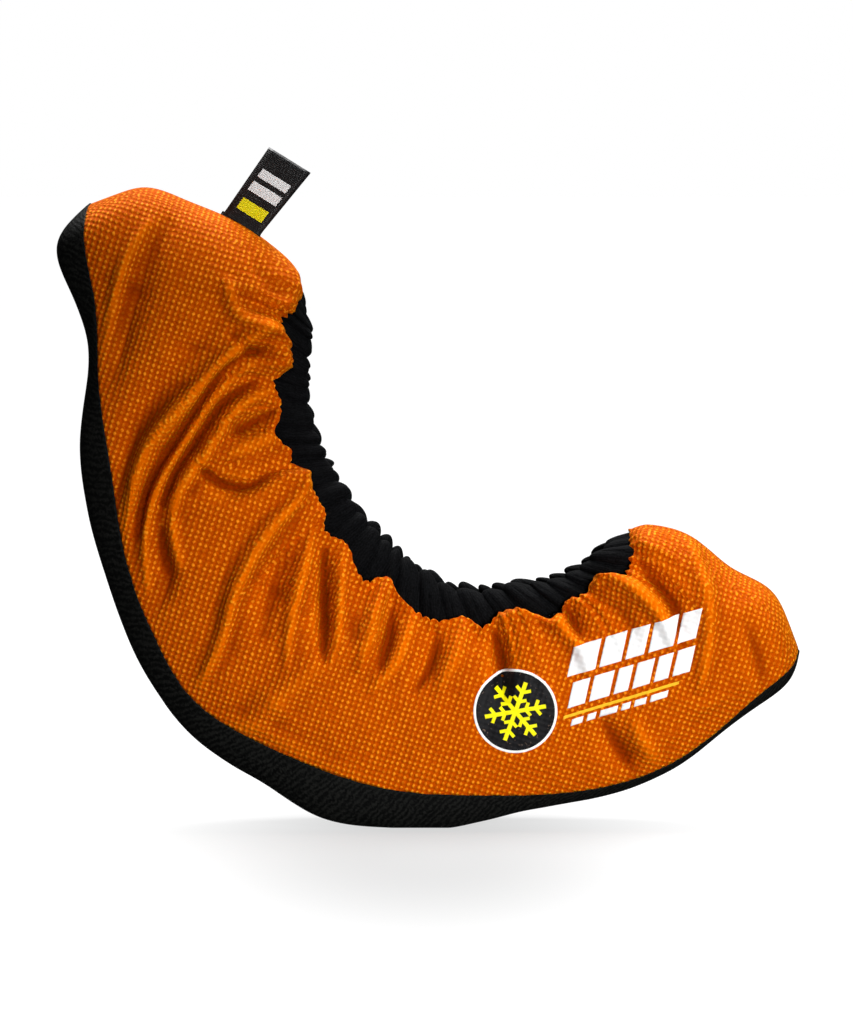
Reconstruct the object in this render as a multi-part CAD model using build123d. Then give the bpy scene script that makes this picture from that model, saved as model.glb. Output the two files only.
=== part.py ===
from build123d import *
import os

# Soft walkable skate blade guard, lying as it stands when nothing is inside it.
# Row frame, millimetres: +X towards the toe end, +Z up, Y across the blade pocket.
# The origin is on the ground under the middle of the guard.
# The elastic mouth curls the guard into a crescent: the sole strip runs round the outside,
# from the heel tip (high, -X) under the guard to the toe tip (+X), and the mouth is the inside.

# ---- lines of the crescent in the XZ plane, each from the heel end to the toe end ----
SOLE_LINE = [(-101, 186), (-111, 173), (-104.5, 150), (-104.5, 115), (-97, 76), (-82, 41),
             (-58, 17), (-43, 6), (-35.5, 1), (-27, -0.4), (-9, -0.35), (6, -0.2), (20, 2.2), (34, 5.6),
             (52, 9), (76, 19), (100, 38), (111, 52)]
MOUTH_LINE = [(-38, 162), (-36, 150), (-36.5, 135), (-33.5, 118), (-27, 104), (-16, 89), (-3, 76.5),
              (12, 70.5), (28, 72.5), (45, 77.5), (57.5, 89)]
HEEL_SPINE = [(-101, 186), (-93, 189.5), (-85, 191.5), (-73, 188), (-56, 180), (-45, 172), (-38, 162)]
TOE_SPINE = [(111, 52), (109, 60), (103, 70), (92, 77.5), (80, 86), (68, 89.5), (57.5, 89)]
SEAM_LINE = [(-101, 192), (-102.5, 178), (-99, 152), (-98.5, 133), (-96, 112), (-91, 82), (-83.5, 58),
             (-71, 38), (-56, 27), (-38, 19.5), (-20, 13), (2, 10), (27, 9.5), (51, 11.5), (75, 21),
             (100, 41), (108, 52), (111, 64)]

# ---- cross-section: how far each side is inset at each half-width ----
HALF_WIDTHS = [0, 9.6, 12, 15.5, 18, 19.5]
SOLE_INSET = [0, 0, 0.6, 3, 8, 15]
MOUTH_INSET = [0, 0, 11, 20, 26, 31]
SPINE_INSET = [0, 2.5, 3.5, 8, 14, 22]

# ---- layers, as depths below the outer face ----
PANEL = (0, 1.0)
SOLE_STRIP = (0, 1.6)
TAPE = (1.7, 2.3)
LINING = (2.4, 4.6)
PRINT = (-0.3, -0.05)
GAP = 0.3

# ---- collar round the mouth, with the elastic loop in its tunnel ----
COLLAR_HEIGHT = 11
COLLAR_HALF = 9.2
COLLAR_WALL = 3.0
COLLAR_END = 2.5
CASING = 0.8
ELASTIC_SLACK = 0.2

# ---- tapes over the inside of the seams, and the pad on the floor of the pocket ----
TAPE_HALF = 4.0
SPINE_TAPE_HALF = 6.0
PAD = (5.0, 7.4)
PAD_HALF = 5.6
PAD_END = 16
FLOOR_HEIGHT = 10

# ---- the fold line where the heel half straightens from the toe half ----
FLEX_PIVOT = (-43, 6)
FLEX_INWARD = (0.42, 0.9075)
FLEX_GAP = 0.4

# ---- label tab on a bead along the heel spine, and the stub that sews it in ----
TAB_ROOT = (-54.9, 181.9)
TAB_SLOPE = 31.8
TAB_WIDTH = 13.5
TAB_LENGTH = 23
TAB_PLY = 0.5
TAB_PLY_GAP = 0.3
TAB_BEAD = 0.9
ANCHOR_THICKNESS = 1.0
ANCHOR_TOP = 1.4
ANCHOR_DEPTH = 8.0

# ---- printed badge and stripes on the right-hand panel: centre x, centre z, then sizes ----
BADGE = (26, 36, 12.5)
STRIPES = [(61.5, 56.5, 40, 8.0), (60.5, 46.5, 38, 7.0), (57.5, 38.5, 32, 2.2)]
STRIPE_SLANT = 17

REACH = 300
HALF_REACH = 60
SOLE_STEPS, MOUTH_STEPS, SPINE_STEPS = 27, 17, 9


def line_through(points):
    return Spline(*[(x, 0, z) for x, z in points])


SOLE, MOUTH = line_through(SOLE_LINE), line_through(MOUTH_LINE)
HEEL, TOE, SEAM = line_through(HEEL_SPINE), line_through(TOE_SPINE), line_through(SEAM_LINE)


# ================= the crescent =================

def crescent(u, v):
    """A point of the crescent: u runs from the heel to the toe, v from the sole to the mouth."""
    along = (SOLE @ u) * (1 - v) + (MOUTH @ u) * v
    across = (HEEL @ v) * (1 - u) + (TOE @ v) * u
    low_corners = (SOLE @ 0) * (1 - u) + (SOLE @ 1) * u
    high_corners = (MOUTH @ 0) * (1 - u) + (MOUTH @ 1) * u
    return along + across - low_corners * (1 - v) - high_corners * v


def depth(u):
    return ((MOUTH @ u) - (SOLE @ u)).length


def from_sole(u, inset):
    return inset / depth(u)


def from_mouth(u, inset):
    return 1 - inset / depth(u)


def along_u(v, distance):
    return distance / (SOLE.length * (1 - v) + MOUTH.length * v)


def smooth(point, start, end, steps):
    """A spline through a function's points, from start to end."""
    return Spline(*[point(start + (end - start) * i / (steps - 1)) for i in range(steps)])


def outline(y, sole, mouth, spine):
    """The crescent's outline at half-width y, inset from the sole, the mouth and the two spines."""
    low = [from_sole(end, sole) for end in (0, 1)]
    high = [from_mouth(end, mouth) for end in (0, 1)]
    heel_low, heel_high = along_u(low[0], spine), along_u(high[0], spine)
    toe_low, toe_high = 1 - along_u(low[1], spine), 1 - along_u(high[1], spine)

    def end_point(t, u_low, u_high):
        u = u_low + (u_high - u_low) * t
        v_low, v_high = from_sole(u_low, sole), from_mouth(u_high, mouth)
        return crescent(u, v_low + (v_high - v_low) * t)

    edges = [
        smooth(lambda u: crescent(u, from_sole(u, sole)), heel_low, toe_low, SOLE_STEPS),
        smooth(lambda t: end_point(t, toe_low, toe_high), 0, 1, SPINE_STEPS),
        smooth(lambda u: crescent(u, from_mouth(u, mouth)), toe_high, heel_high, MOUTH_STEPS),
        smooth(lambda t: end_point(t, heel_low, heel_high), 1, 0, SPINE_STEPS),
    ]
    return Wire(edges).moved(Location((0, y, 0)))


def guard(below):
    """The guard as a closed crescent, with its outer face set in by a layer's depth."""
    levels = list(zip(HALF_WIDTHS, SOLE_INSET, MOUTH_INSET, SPINE_INSET))
    right = [(-max(half - below, 0), *insets) for half, *insets in levels[:0:-1]]
    left = [(max(half - below, 0), *insets) for half, *insets in levels[1:]]
    middle = [(0, *levels[0][1:])]
    wires = [outline(y, *[inset + below for inset in insets]) for y, *insets in right + middle + left]
    return Solid.make_loft(wires, ruled=True)


def layer(depths):
    return guard(depths[0]) - guard(depths[1])


# ================= blocks that cut the layers into pieces =================

def block(lines, half=HALF_REACH):
    """A slab across the guard, |y| up to half, with the given lines as its outline in the XZ plane."""
    face = Face(Wire([edge for line in lines for edge in line.edges()]))
    return extrude(face, amount=half, dir=(0, 1, 0), both=True)


def corners(points):
    return Polyline(*[(x, 0, z) for x, z in points])


def outside_seam():
    """All that lies on the sole's side of the seam line."""
    start, end = SEAM @ 0, SEAM @ 1
    round_the_sole = corners([(end.X, end.Z), (REACH, end.Z), (REACH, -REACH), (-REACH, -REACH),
                              (-REACH, start.Z), (start.X, start.Z)])
    return block([SEAM, round_the_sole])


def mouth_side(inset):
    """All that lies within an inset of the mouth line, and the hollow of the crescent."""
    lip = smooth(lambda u: crescent(u, from_mouth(u, inset)), 0, 1, MOUTH_STEPS)
    before = lip @ 0 - (lip % 0) * 40
    after = lip @ 1 + (lip % 1) * 40
    above = corners([(after.X, after.Z), (REACH, REACH), (before.X, REACH), (before.X, before.Z)])
    return block([Line(before, lip @ 0), lip, Line(lip @ 1, after), above])


def mouth_strip(top, bottom, end, half):
    """A strip along the mouth line between two insets, stopping short of both spines."""
    start = end / MOUTH.length
    high = smooth(lambda u: crescent(u, from_mouth(u, top)), start, 1 - start, MOUTH_STEPS)
    low = smooth(lambda u: crescent(u, from_mouth(u, bottom)), 1 - start, start, MOUTH_STEPS)
    return block([high, Line(high @ 1, low @ 0), low, Line(low @ 1, high @ 0)], half)


def sole_strip_between(top, bottom, end, half):
    """A strip along the floor of the pocket between two insets from the sole line."""
    start = end / SOLE.length
    low = smooth(lambda u: crescent(u, from_sole(u, top)), start, 1 - start, SOLE_STEPS)
    high = smooth(lambda u: crescent(u, from_sole(u, bottom)), 1 - start, start, SOLE_STEPS)
    return block([low, Line(low @ 1, high @ 0), high, Line(high @ 1, low @ 0)], half)


def seam_ribbon():
    """A band each side of the seam line."""
    def beside(side):
        def point(t):
            run = SEAM % t
            return SEAM @ t + Vector(-run.Z, 0, run.X) * side * TAPE_HALF
        return point

    outer = smooth(beside(-1), 0, 1, SOLE_STEPS)
    inner = smooth(beside(1), 1, 0, SOLE_STEPS)
    return block([outer, Line(outer @ 1, inner @ 0), inner, Line(inner @ 1, outer @ 0)])


def flex_side(side):
    """The toe (1) or heel (-1) side of the fold line, half the flex gap away from it."""
    inward = Vector(FLEX_INWARD[0], 0, FLEX_INWARD[1])
    towards = Vector(inward.Z, 0, -inward.X) * side
    near = Vector(FLEX_PIVOT[0], 0, FLEX_PIVOT[1]) + towards * FLEX_GAP / 2
    spots = [near - inward * REACH, near + inward * REACH, near + (inward + towards) * REACH,
             near + (towards - inward) * REACH, near - inward * REACH]
    return block([Polyline(*spots)])


def y_side(side, start=GAP / 2):
    """The right (-1) or left (1) half of space, from a distance off the middle plane."""
    middle = side * (start + HALF_REACH / 2)
    return Pos(0, middle, 0) * Box(2 * REACH, HALF_REACH, 2 * REACH)


ABOVE_GROUND = Pos(0, 0, REACH) * Box(2 * REACH, 2 * HALF_REACH, 2 * REACH)
SOLE_SIDE = outside_seam()
COLLAR_SIDE = mouth_side(COLLAR_HEIGHT + GAP)
HALVES = {"heel": flex_side(-1), "toe": flex_side(1)}
SIDES = {"right": -1, "left": 1}


# ================= pieces =================

def on_tab(x, z):
    """Place something in the label's own frame: X along the spine, Z out of it."""
    return Location((TAB_ROOT[0], 0, TAB_ROOT[1]), (0, TAB_SLOPE, 0)) * Location((x, 0, z))


def pull_tab():
    bead = on_tab(0, 0) * Cylinder(TAB_BEAD, TAB_WIDTH, rotation=(0, 90, 0))
    outer = 2 * TAB_PLY + TAB_PLY_GAP
    start = TAB_BEAD / 2
    label = Box(TAB_WIDTH, outer, TAB_LENGTH - start, align=(Align.CENTER, Align.CENTER, Align.MIN))
    inside = Box(TAB_WIDTH, TAB_PLY_GAP, TAB_LENGTH - start - 2 * TAB_PLY,
                 align=(Align.CENTER, Align.CENTER, Align.MIN))
    folded = on_tab(0, start) * label - on_tab(0, start + TAB_PLY) * inside
    return bead + folded


def tab_anchor(spare=0.0):
    """The sewn-in end of the label, under its bead; spare makes the slot it stands in."""
    stub = Box(TAB_WIDTH + 2 * spare, ANCHOR_THICKNESS + 2 * spare, ANCHOR_DEPTH + spare,
               align=(Align.CENTER, Align.CENTER, Align.MAX))
    top = ANCHOR_TOP - spare
    return on_tab(0, -top) * stub


def collar():
    ring = mouth_strip(0, COLLAR_HEIGHT, COLLAR_END, COLLAR_HALF)
    inner_half, inner_end = COLLAR_HALF - COLLAR_WALL, COLLAR_END + COLLAR_WALL
    slot = mouth_strip(-COLLAR_HEIGHT, 2 * COLLAR_HEIGHT, inner_end, inner_half)
    return ring - slot - tunnel(0)


def tunnel(slack):
    """The loop-shaped space in the collar, or with some slack the elastic in it."""
    inner = COLLAR_WALL - CASING
    room = mouth_strip(CASING + slack, COLLAR_HEIGHT - CASING - slack, COLLAR_END + CASING + slack,
                       COLLAR_HALF - CASING - slack)
    core = mouth_strip(0, COLLAR_HEIGHT, COLLAR_END + inner - slack, COLLAR_HALF - inner + slack)
    return room - core


def badge(ink):
    x, z, radius = BADGE
    return ink & (Pos(x, -HALF_REACH / 2, z) * Cylinder(radius, HALF_REACH, rotation=(90, 0, 0)))


def stripes(ink):
    bars = []
    for x, z, length, height in STRIPES:
        place = Location((x, -HALF_REACH / 2, z), (0, -STRIPE_SLANT, 0))
        bars.append(ink & (place * Box(length, HALF_REACH, height)))
    return bars


def save(name, *shapes):
    solids = [solid for shape in shapes for solid in shape.solids()]
    kept = solids[0] if len(solids) == 1 else Compound(solids)
    export_step(kept, os.path.join("parts", name + ".step"))


def save_halves(name, shape):
    for end, half in HALVES.items():
        save(name + "_" + end, shape & half)


def main():
    os.makedirs("parts", exist_ok=True)
    slot = tab_anchor(GAP)
    floor = sole_strip_between(-FLOOR_HEIGHT, FLOOR_HEIGHT, 0, HALF_REACH)

    save_halves("sole_strip", (layer(SOLE_STRIP) & SOLE_SIDE) & ABOVE_GROUND)
    lining = layer(LINING)
    panels = layer(PANEL) - SOLE_SIDE - COLLAR_SIDE - slot
    walls = lining - floor - COLLAR_SIDE - slot
    tape = layer(TAPE)
    seam_tapes = tape & seam_ribbon()
    for name, side in SIDES.items():
        save_halves(name + "_panel", panels & y_side(side))
        save_halves(name + "_lining", walls & y_side(side))
        save_halves(name + "_seam_tape", seam_tapes & y_side(side, SPINE_TAPE_HALF + 2 * GAP))
    save_halves("lining_base", lining & floor)
    save_halves("blade_pad", sole_strip_between(*PAD, PAD_END, PAD_HALF))

    closing = tape - SOLE_SIDE - floor - COLLAR_SIDE - slot
    closing = closing & Box(2 * REACH, 2 * SPINE_TAPE_HALF, 2 * REACH)
    save("heel_spine_tape", closing & HALVES["heel"])
    save("toe_spine_tape", closing & HALVES["toe"])
    save_halves("collar", collar())
    save_halves("elastic", tunnel(ELASTIC_SLACK))
    save("pull_tab", pull_tab())
    save("tab_anchor", tab_anchor())
    ink = layer(PRINT)
    save("badge_print", badge(ink))
    save("stripe_print", *stripes(ink))


main()
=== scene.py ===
import math

import bpy
import numpy as np
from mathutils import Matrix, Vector
from mathutils.bvhtree import BVHTree


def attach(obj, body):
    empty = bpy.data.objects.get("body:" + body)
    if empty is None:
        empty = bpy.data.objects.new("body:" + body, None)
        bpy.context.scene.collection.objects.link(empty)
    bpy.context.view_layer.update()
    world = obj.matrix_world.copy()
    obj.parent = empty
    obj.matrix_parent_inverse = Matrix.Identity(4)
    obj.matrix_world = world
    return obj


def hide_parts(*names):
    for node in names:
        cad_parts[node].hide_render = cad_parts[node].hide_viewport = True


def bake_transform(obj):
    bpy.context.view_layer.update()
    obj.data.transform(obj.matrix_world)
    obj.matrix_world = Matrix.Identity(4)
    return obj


# Soft walkable skate blade guard, standing by itself on its sole. Shapes are worked out in
# millimetres in the row frame and become metres in make_mesh. The guard's skin is one surface,
# read by u (heel 0 to toe 1) and v (sole 0 to mouth 1), and every layer is a part of it.

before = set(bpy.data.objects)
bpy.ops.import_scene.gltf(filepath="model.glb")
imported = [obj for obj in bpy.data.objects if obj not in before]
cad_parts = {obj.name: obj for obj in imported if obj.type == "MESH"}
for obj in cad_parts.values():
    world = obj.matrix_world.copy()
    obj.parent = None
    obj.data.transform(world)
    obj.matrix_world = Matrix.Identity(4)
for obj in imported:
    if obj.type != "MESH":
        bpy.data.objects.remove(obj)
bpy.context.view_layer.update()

MM = 0.001
RIGHT, LEFT = -1, 1

# ---- lines of the crescent in the XZ plane, each from the heel end to the toe end ----
SOLE_LINE = [(-101, 186), (-110, 174), (-107, 163), (-101, 147), (-103, 120), (-97, 80), (-83, 45),
             (-64, 23), (-46, 12), (-34, 4.5), (-24, 1.5), (-10, 0.5), (6, 0.5), (18, 3), (34, 6.5),
             (54, 10.5), (75, 19.5), (98, 37), (108, 45), (111, 53)]
MOUTH_LINE = [(-38, 162), (-36, 150), (-36, 135), (-34, 118), (-28, 103.5), (-17, 88), (-4, 76),
              (12, 69.5), (28, 72), (45, 77), (57, 88.5)]
HEEL_SPINE = [(-101, 186), (-93, 189), (-85, 191), (-73, 187.5), (-56, 180), (-46, 172), (-38, 162)]
TOE_SPINE = [(111, 53), (108, 61), (103, 70), (91, 77), (80, 85.5), (69, 88.5), (57, 88.5)]
SEAM_LINE = [(-100, 192), (-102, 178), (-99, 158), (-98, 135), (-94, 106), (-90, 81), (-82, 59),
             (-70, 39), (-52, 27), (-30, 17.5), (-10, 12), (12, 10.5), (35, 10.5), (56, 13.5),
             (73, 20), (90, 32.5), (102, 43), (110, 50), (113, 56)]
# top edge of the orange panel: each gather bulges over the black collar, with a notch between
RIGHT_EDGE = [(-40, 168), (-39, 163), (-38.5, 158), (-41, 154), (-44, 152), (-42, 148), (-40.5, 142),
              (-41, 138), (-46, 133.5), (-44, 129), (-45, 121), (-43.5, 115.5), (-40.5, 113.5),
              (-41, 109.5), (-36, 108), (-34, 101), (-30.5, 94), (-31, 89.5), (-27.5, 87.5), (-22.5, 82),
              (-21, 77), (-17.5, 74), (-13, 76), (-9, 71), (-5, 66.5), (4, 62.5), (11, 63.5), (17, 60.5),
              (20, 63.5), (28, 66), (34, 64), (40, 65), (42, 69), (46, 70), (49, 74), (53, 76),
              (58, 75.5), (60.5, 80), (60.5, 86), (59, 92)]
LEFT_EDGE = [(-38.5, 166), (-41, 158), (-44, 151), (-41, 144), (-44, 137), (-46.5, 130), (-43, 122),
             (-43.5, 113), (-37.5, 107), (-36.5, 99), (-31, 95), (-29, 87), (-23, 83), (-19.5, 75.5),
             (-13, 74), (-8, 67.5), (-1, 67), (6, 61), (13, 62.5), (20, 60.5), (27, 65.5), (35, 63.5),
             (43, 70), (50, 71.5), (56, 79), (60, 83), (61, 90)]

# ---- cross-section ----
FULL_HALF = 19.5
SOLE_HALF, SOLE_RISE = 12.0, 15.0
MOUTH_HALF, MOUTH_RISE = 9.6, 31.0
END_RISE = 22.0
PANEL_THICK, SOLE_THICK = 0.8, 1.7


# ====== lines and the surface ======

def cubic(t, points, wanted):
    """A natural cubic spline through the points at parameters t, read at the wanted parameters."""
    n, h = len(t), np.diff(t)
    matrix, right = np.eye(n), np.zeros((n, points.shape[1]))
    for i in range(1, n - 1):
        matrix[i, i - 1:i + 2] = h[i - 1], 2 * (h[i - 1] + h[i]), h[i]
        right[i] = 6 * ((points[i + 1] - points[i]) / h[i] - (points[i] - points[i - 1]) / h[i - 1])
    bend = np.linalg.solve(matrix, right)
    k = np.clip(np.searchsorted(t, wanted) - 1, 0, n - 2)
    step, past = h[k][:, None], (wanted - t[k])[:, None]
    left = step - past
    return ((bend[k] * left ** 3 + bend[k + 1] * past ** 3) / (6 * step)
            + (points[k] / step - bend[k] * step / 6) * left
            + (points[k + 1] / step - bend[k + 1] * step / 6) * past)


def distances(points):
    """How far along a line of points each of them is."""
    return np.r_[0, np.cumsum(np.linalg.norm(np.diff(points, axis=0), axis=1))]


def unit(vectors):
    return vectors / np.linalg.norm(vectors, axis=-1, keepdims=True)


def paired(a, b):
    """One grid of pairs from two grids, each spread over the rows or columns that it lacks."""
    return np.stack(np.broadcast_arrays(a, b), -1)


class Line:
    """A smooth line through points in the XZ plane, read by its share of length."""

    def __init__(self, points, count=900):
        points = np.array(points, float)
        t = distances(points)
        self.points = cubic(t, points, np.linspace(0, t[-1], count))
        run = distances(self.points)
        self.length, self.share = run[-1], run / run[-1]

    def at(self, u):
        return np.stack([np.interp(u, self.share, self.points[:, k]) for k in (0, 1)], -1)

    def side(self, xz):
        """Signed distance from the line: positive on its left, going from heel to toe."""
        flat = xz.reshape(-1, 2)
        gap = ((flat[:, None] - self.points[None, ::3]) ** 2).sum(-1)
        near = np.clip(gap.argmin(1) * 3, 3, len(self.points) - 4)
        run = unit(self.points[near + 3] - self.points[near - 3])
        away = flat - self.points[near]
        return (run[:, 0] * away[:, 1] - run[:, 1] * away[:, 0]).reshape(xz.shape[:-1])


SOLE, MOUTH, SEAM = Line(SOLE_LINE), Line(MOUTH_LINE), Line(SEAM_LINE)
HEEL, TOE = Line(HEEL_SPINE), Line(TOE_SPINE)


def depth(u):
    return np.linalg.norm(MOUTH.at(u) - SOLE.at(u), axis=-1)


def crescent(u, v):
    """XZ of a place on the crescent, for arrays u and v of one shape."""
    u_, v_ = u[..., None], v[..., None]
    along = SOLE.at(u) * (1 - v_) + MOUTH.at(u) * v_
    across = HEEL.at(v) * (1 - u_) + TOE.at(v) * u_
    low = SOLE.points[0] * (1 - u_) + SOLE.points[-1] * u_
    high = MOUTH.points[0] * (1 - u_) + MOUTH.points[-1] * u_
    return along + across - low * (1 - v_) - high * v_


def rise(distance, reach, power):
    """From 0 at an edge to 1 at reach and beyond, rounding over like a cushion's side."""
    return (1 - (1 - np.clip(distance / reach, 0, 1)) ** power) ** (1 / power)


def half_width(u, v):
    deep, run = depth(u), SOLE.length * (1 - v) + MOUTH.length * v
    sole = SOLE_HALF + (FULL_HALF - SOLE_HALF) * rise(v * deep, SOLE_RISE, 1.8)
    mouth = MOUTH_HALF + (FULL_HALF - MOUTH_HALF) * np.clip((1 - v) * deep / MOUTH_RISE, 0, 1) ** 0.9
    ends = rise(u * run, END_RISE, 2) * rise((1 - u) * run, END_RISE, 2)
    return sole * mouth * ends / FULL_HALF


def skin(u, v, side):
    """Points of the guard's skin on one side, as an array of XYZ."""
    xz = crescent(u, v)
    return np.stack([xz[..., 0], side * half_width(u, v), xz[..., 1]], -1)


def grid_normals(grid, side):
    """Outward unit normals of a grid of points whose rows go heel to toe and columns sole to mouth."""
    n = np.cross(np.gradient(grid, axis=0), np.gradient(grid, axis=1)) * -side
    return n / np.maximum(np.linalg.norm(n, axis=-1), 1e-9)[..., None]


def share_of(line, low, high):
    """Where the crescent's rows cross a line, as a function giving v for u.

    A row that never crosses keeps the sole, or the mouth for a line of the upper half."""
    us, vs = np.linspace(0, 1, 401), np.linspace(low, high, 181)
    u, v = np.meshgrid(us, vs, indexing="ij")
    beyond = line.side(crescent(u, v)) > 0
    first = np.where(beyond.any(1), beyond.argmax(1), 0 if low == 0 else len(vs) - 1)
    values = vs[first]
    smooth = np.convolve(np.pad(values, 2, mode="edge"), np.ones(5) / 5, "valid")
    return lambda u: np.interp(u, us, smooth)


seam_v = share_of(SEAM, 0, 0.5)
edge_v = {RIGHT: share_of(Line(RIGHT_EDGE), 0.5, 1), LEFT: share_of(Line(LEFT_EDGE), 0.5, 1)}


def collar_v(u, inset):
    return 1 - inset / depth(u)


# ====== meshes ======

def make_mesh(name, points, faces, material=None, uv=None):
    """A smooth mesh object from points in millimetres; uv is one pair for each point."""
    mesh = bpy.data.meshes.new(name)
    mesh.from_pydata((np.asarray(points) * MM).tolist(), [], np.asarray(faces).tolist())
    if material:
        mesh.materials.append(material)
    if uv is not None:
        layer = mesh.uv_layers.new(name="cloth")
        corner = np.zeros(len(mesh.loops), np.int32)
        mesh.loops.foreach_get("vertex_index", corner)
        layer.data.foreach_set("uv", np.asarray(uv, np.float32)[corner].ravel())
    mesh.polygons.foreach_set("use_smooth", [True] * len(mesh.polygons))
    piece = bpy.data.objects.new(name, mesh)
    bpy.context.scene.collection.objects.link(piece)
    return piece


def grid_faces(rows, columns, flip=False, wrap_rows=False, wrap_columns=False, start=0):
    i, j = np.meshgrid(np.arange(rows - (not wrap_rows)), np.arange(columns - (not wrap_columns)),
                       indexing="ij")
    i2, j2 = (i + 1) % rows, (j + 1) % columns
    corners = [i * columns + j, i2 * columns + j, i2 * columns + j2, i * columns + j2]
    faces = np.stack([k.ravel() for k in corners], -1) + start
    return faces[:, ::-1] if flip else faces


def shell(outer, inner):
    """Points and faces of a closed sheet: an outer grid, an inner grid and the rim between them."""
    rows, columns = outer.shape[:2]
    count = rows * columns
    points = np.concatenate([outer.reshape(-1, 3), inner.reshape(-1, 3)])
    index = np.arange(count).reshape(rows, columns)
    rim = np.concatenate([index[:, 0], index[-1, 1:], index[-2::-1, -1], index[0, -2:0:-1]])
    after = np.roll(rim, -1)
    wall = np.stack([rim, rim + count, after + count, after], -1)
    sides = [grid_faces(rows, columns), grid_faces(rows, columns, True, start=count), wall]
    faces = np.concatenate(sides)
    a, b, c, d = (points[faces[:, k]] for k in range(4))
    volume = (np.cross(b - a, c - a) * a + np.cross(c - a, d - a) * a).sum()
    return points, faces if volume > 0 else faces[:, ::-1]


def sheet_mesh(name, outer, inner, material, cloth):
    """A closed sheet between two grids, which share one grid of cloth coordinates."""
    points, faces = shell(outer, inner)
    return make_mesh(name, points, faces, material, np.concatenate([cloth.reshape(-1, 2)] * 2))


def flatten(grid, start, rounds=260):
    """Cloth coordinates of a grid in millimetres: start, relaxed towards the grid's own lengths."""
    flat = start.copy()
    every, first, later = slice(None), slice(None, -1), slice(1, None)
    spans = [(first, every, later, every), (every, first, every, later),
             (first, first, later, later), (later, first, first, later)]
    wanted = [np.linalg.norm(grid[c, d] - grid[a, b], axis=-1) for a, b, c, d in spans]
    for _ in range(rounds):
        move, weight = np.zeros_like(flat), np.zeros(flat.shape[:2])
        for (a, b, c, d), length in zip(spans, wanted):
            run = flat[c, d] - flat[a, b]
            now = np.maximum(np.linalg.norm(run, axis=-1), 1e-6)
            pull = run * (0.5 * (1 - length / now))[..., None]
            move[a, b] += pull
            move[c, d] -= pull
            weight[a, b] += 1
            weight[c, d] += 1
        flat += 1.6 * move / weight[..., None]
    return flat


# ====== folds ======
# Each crease is a line of XZ places with the height that the cloth stands above the smooth skin
# there, below when negative, and its half-width. Creases fade towards their two ends.

RIGHT_FOLDS = [
    ([(-83, 181), (-89, 171), (-93, 158), (-96, 144), (-98, 134)], 2.4, 2.6),
    ([(-78, 180), (-84, 168), (-89, 155), (-94, 140), (-96, 132)], -3.4, 5.4),
    ([(-63, 150), (-73, 139), (-83, 126), (-91, 110), (-93, 98)], -2.8, 5.6),
    ([(-49, 150), (-57, 144.5), (-68, 132.6), (-76, 124), (-83, 115), (-88, 101), (-90.5, 88), (-89, 76)],
     4.0, 3.0),
    ([(-49, 144), (-60.7, 138), (-67.6, 127.5), (-78.6, 111), (-84.5, 98.7), (-86, 88)], -3.2, 2.2),
    ([(-53, 139), (-64, 129.5), (-72.6, 116), (-79.5, 104.6), (-82.5, 96), (-84, 86), (-83, 70)], 2.6, 1.9),
    ([(-51, 134), (-60.7, 127.5), (-67.6, 118.6), (-74.6, 108.6), (-78.5, 98)], -3.4, 2.1),
    ([(-47, 131.5), (-55.7, 127), (-65.6, 113.6), (-73.6, 102), (-75.6, 92), (-74, 80)], 3.2, 2.8),
    ([(-79, 90), (-78.6, 84), (-78, 76), (-82.5, 66), (-84, 60)], -3.4, 3.4),
    ([(-44, 126), (-49, 123), (-57, 118.5)], -3.2, 2.6),
    ([(-43, 119), (-50, 116), (-61, 112)], 2.8, 3.8),
    ([(-68, 109), (-61, 104), (-53, 103), (-46, 107)], -3.2, 2.5),
    ([(-60, 164), (-56, 154), (-48, 151), (-41, 150)], 2.6, 2.8),
    ([(-58, 148), (-52, 143), (-45, 141)], -2.2, 2.4),
    ([(-52, 168), (-46, 160), (-42, 158)], -2.0, 3.2),
    ([(-35, 106), (-39, 99), (-44.5, 93), (-52, 82.5), (-58, 69), (-61, 58), (-68, 44)], 3.8, 2.9),
    ([(-39, 92), (-43, 82), (-46, 72), (-49, 60)], -3.4, 4.6),
    ([(-34, 90), (-36.5, 80), (-39, 71), (-41, 60), (-42, 50)], 2.6, 2.5),
    ([(-30, 84), (-30.5, 68), (-31, 52)], -4.6, 2.8),
    ([(-25, 84), (-26, 72), (-27, 58)], 3.0, 2.8),
    ([(-58, 26), (-46, 38), (-34, 48), (-22, 55)], 2.2, 5.0),
    ([(-70, 34), (-52, 30), (-36, 22), (-20, 15)], 2.0, 4.0),
    ([(-15, 71), (-17, 60), (-20, 49)], 2.8, 3.2),
    ([(-10, 68), (-11.5, 57), (-14, 48)], -3.2, 2.6),
    ([(-4, 66), (-8, 54), (-16, 43)], 2.4, 3.2),
    ([(3, 60), (1, 50), (-4, 42)], -2.8, 2.8),
    ([(10, 62), (9, 54), (4, 44)], 2.4, 3.4),
    ([(20, 60), (22, 50), (22, 40)], -4.4, 3.2),
    ([(21, 61), (29, 65), (39, 62.5), (45, 56), (48, 48)], 3.4, 3.4),
    ([(41, 69), (43, 62), (46, 57)], -3.8, 2.6),
    ([(47, 70), (54, 75.5), (63.5, 70.8), (70, 64.5), (73, 56)], 3.6, 3.4),
    ([(53, 69), (58, 65), (62, 58)], -1.8, 3.4),
    ([(60, 84), (66, 77), (73, 67), (75, 56)], -3.0, 3.2),
    ([(76.5, 87), (80.5, 77), (83, 68), (83, 54), (81, 43)], 2.6, 3.0),
    ([(95, 62), (99, 52), (100, 42)], -2.2, 4.0),
    ([(52, 34), (56, 26), (62, 17)], -2.4, 4.0),
    ([(61, 34), (65, 26), (69, 19)], 1.8, 3.6),
]
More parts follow.
